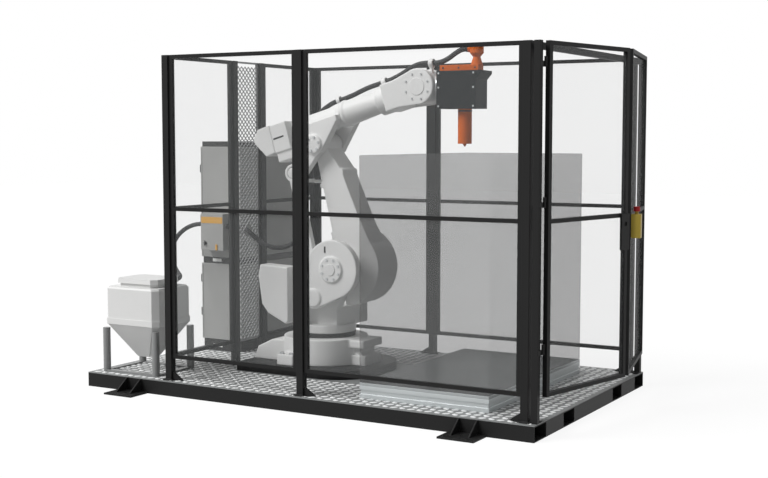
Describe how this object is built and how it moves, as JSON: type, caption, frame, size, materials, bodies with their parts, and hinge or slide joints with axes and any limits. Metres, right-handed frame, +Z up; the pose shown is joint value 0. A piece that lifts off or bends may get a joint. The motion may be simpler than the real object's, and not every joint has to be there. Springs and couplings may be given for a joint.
{
  "type": "robotic printing cell",
  "caption": "Skid-mounted printing cell: a six-axis robot with a pellet extruder over a print bed, inside a glazed safety fence with a double door, fed by a hopper.",
  "frame": {"origin": "on the floor, at the centre of the four anchor bolts of the skid", "axes": "+X to the double door, +Y across the skid away from the hopper, +Z up"},
  "size_m": [3.6685, 2.3, 2.3603],
  "materials": {
    "black_paint": "satin black powder coat",
    "dark_paint": "dark grey powder coat",
    "tread_plate": "bright raised tread pattern",
    "clear_panel": "clear polycarbonate panes",
    "cabinet_paint": "mid grey fine texture paint",
    "cabinet_black": "black paint",
    "hood_plastic": "beige moulded plastic",
    "hopper_plastic": "white moulded plastic",
    "stand_steel": "grey paint",
    "bed_aluminium": "milled layers",
    "bed_top": "dark grey build plate",
    "robot_paint": "light grey semi gloss paint on castings",
    "ring_dark": "dark slewing ring",
    "flange_steel": "turned steel",
    "orange_paint": "orange anodised look",
    "extruder_grey": "dark grey housing",
    "interlock_yellow": "yellow moulded box",
    "hose_rubber": "dark grey hose"
  },
  "bodies": {
    "root": {"skid_long_tubes": "black_paint", "skid_cross_members": "dark_paint", "anchor_brackets": "black_paint", "deck_plate": "tread_plate", "robot_plate": "black_paint", "fence_posts": "black_paint", "door_posts": "black_paint", "door_header": "dark_paint", "door_hinges": "black_paint", "front_wall_frames": "black_paint", "back_wall_frames": "black_paint", "left_wall_frames": "black_paint", "front_wall_glass": "clear_panel", "back_wall_glass": "clear_panel", "left_wall_glass": "clear_panel", "mesh_panel": "dark_paint", "lower_cabinet": "cabinet_paint", "upper_cabinet": "cabinet_paint", "cabinet_trim": "cabinet_black", "cabinet_hinges": "cabinet_black", "cable_hoods": "hood_plastic", "control_box": "cabinet_paint", "hopper_bin": "hopper_plastic", "hopper_lid": "hopper_plastic", "hopper_stand": "stand_steel", "bed_frame": "bed_aluminium", "bed_plate": "bed_top", "robot_base": "robot_paint", "hopper_hose": "hose_rubber", "feed_hose_wall": "hose_rubber"},
    "turret": {"swivel_ring": "ring_dark", "turret": "robot_paint", "turret_drives": "robot_paint", "feed_hose_riser": "hose_rubber"},
    "lower_arm": {"lower_arm": "robot_paint", "feed_hose_elbow": "hose_rubber"},
    "crank": {"crank": "robot_paint", "counterweight": "robot_paint"},
    "link_rod": {"link_rod": "robot_paint"},
    "elbow": {"elbow_housing": "robot_paint", "elbow_drives": "robot_paint", "feed_hose_forearm": "hose_rubber"},
    "forearm": {"forearm_tube": "robot_paint", "feed_hose_wrist": "hose_rubber"},
    "wrist": {"wrist": "robot_paint", "feed_hose_tool": "hose_rubber"},
    "tool": {"tool_flange": "flange_steel", "extruder_housing": "extruder_grey", "extruder_barrel": "orange_paint", "feed_gearbox": "orange_paint", "feed_funnel": "orange_paint"},
    "near_leaf": {"near_leaf_frame": "black_paint", "near_leaf_glass": "clear_panel", "near_leaf_lock": "cabinet_black"},
    "far_leaf": {"far_leaf_frame": "black_paint", "far_leaf_glass": "clear_panel", "interlock_switch": "interlock_yellow"}
  },
  "joints": [
    {"name": "axis_1", "type": "hinge", "parent": "root", "child": "turret", "pos_m": [-0.33, 0, 0.345], "axis": [0, 0, 1], "range_deg": [-30, 30], "deforming": ["feed_hose_wall"]},
    {"name": "axis_2", "type": "hinge", "parent": "turret", "child": "lower_arm", "pos_m": [-0.13, 0, 0.84], "axis": [0, 1, 0], "range_deg": [-5, 30], "deforming": ["feed_hose_riser"]},
    {"name": "axis_3", "type": "hinge", "parent": "lower_arm", "child": "elbow", "pos_m": [-0.34531, 0, 1.70356], "axis": [0, 1, 0], "range_deg": [-15, 40], "deforming": ["feed_hose_elbow"]},
    {"name": "crank_turn", "type": "hinge", "parent": "lower_arm", "child": "crank", "pos_m": [-0.13, 0, 0.84], "axis": [0, 1, 0], "range_deg": [-15, 40]},
    {"name": "rod_turn", "type": "hinge", "parent": "crank", "child": "link_rod", "pos_m": [-0.276, 0, 0.636], "axis": [0, -1, 0], "range_deg": [-15, 40]},
    {"name": "axis_4", "type": "hinge", "parent": "elbow", "child": "forearm", "pos_m": [-0.38666, 0, 1.84775], "axis": [0.9613, 0, 0.2756], "range_deg": [-45, 45], "deforming": ["feed_hose_forearm"]},
    {"name": "axis_5", "type": "hinge", "parent": "forearm", "child": "wrist", "pos_m": [0.45925, 0, 2.09031], "axis": [0, -1, 0], "range_deg": [-30, 65], "deforming": ["feed_hose_wrist"]},
    {"name": "axis_6", "type": "hinge", "parent": "wrist", "child": "tool", "pos_m": [0.59925, 0, 2.09031], "axis": [-1, 0, 0], "range_deg": [-60, 60], "deforming": ["feed_hose_tool"]},
    {"name": "near_leaf_hinge", "type": "hinge", "parent": "root", "child": "near_leaf", "pos_m": [1.71, -0.881, 0.5], "axis": [0, 0, -1], "range_deg": [-12.5, 95]},
    {"name": "far_leaf_hinge", "type": "hinge", "parent": "root", "child": "far_leaf", "pos_m": [1.71, 0.881, 0.5], "axis": [0, 0, 1], "range_deg": [-12.5, 95]}
  ],
  "couplings": [
    {"joint": "crank_turn", "follows": "axis_3", "ratio": 1},
    {"joint": "rod_turn", "follows": "axis_3", "ratio": 1}
  ]
}
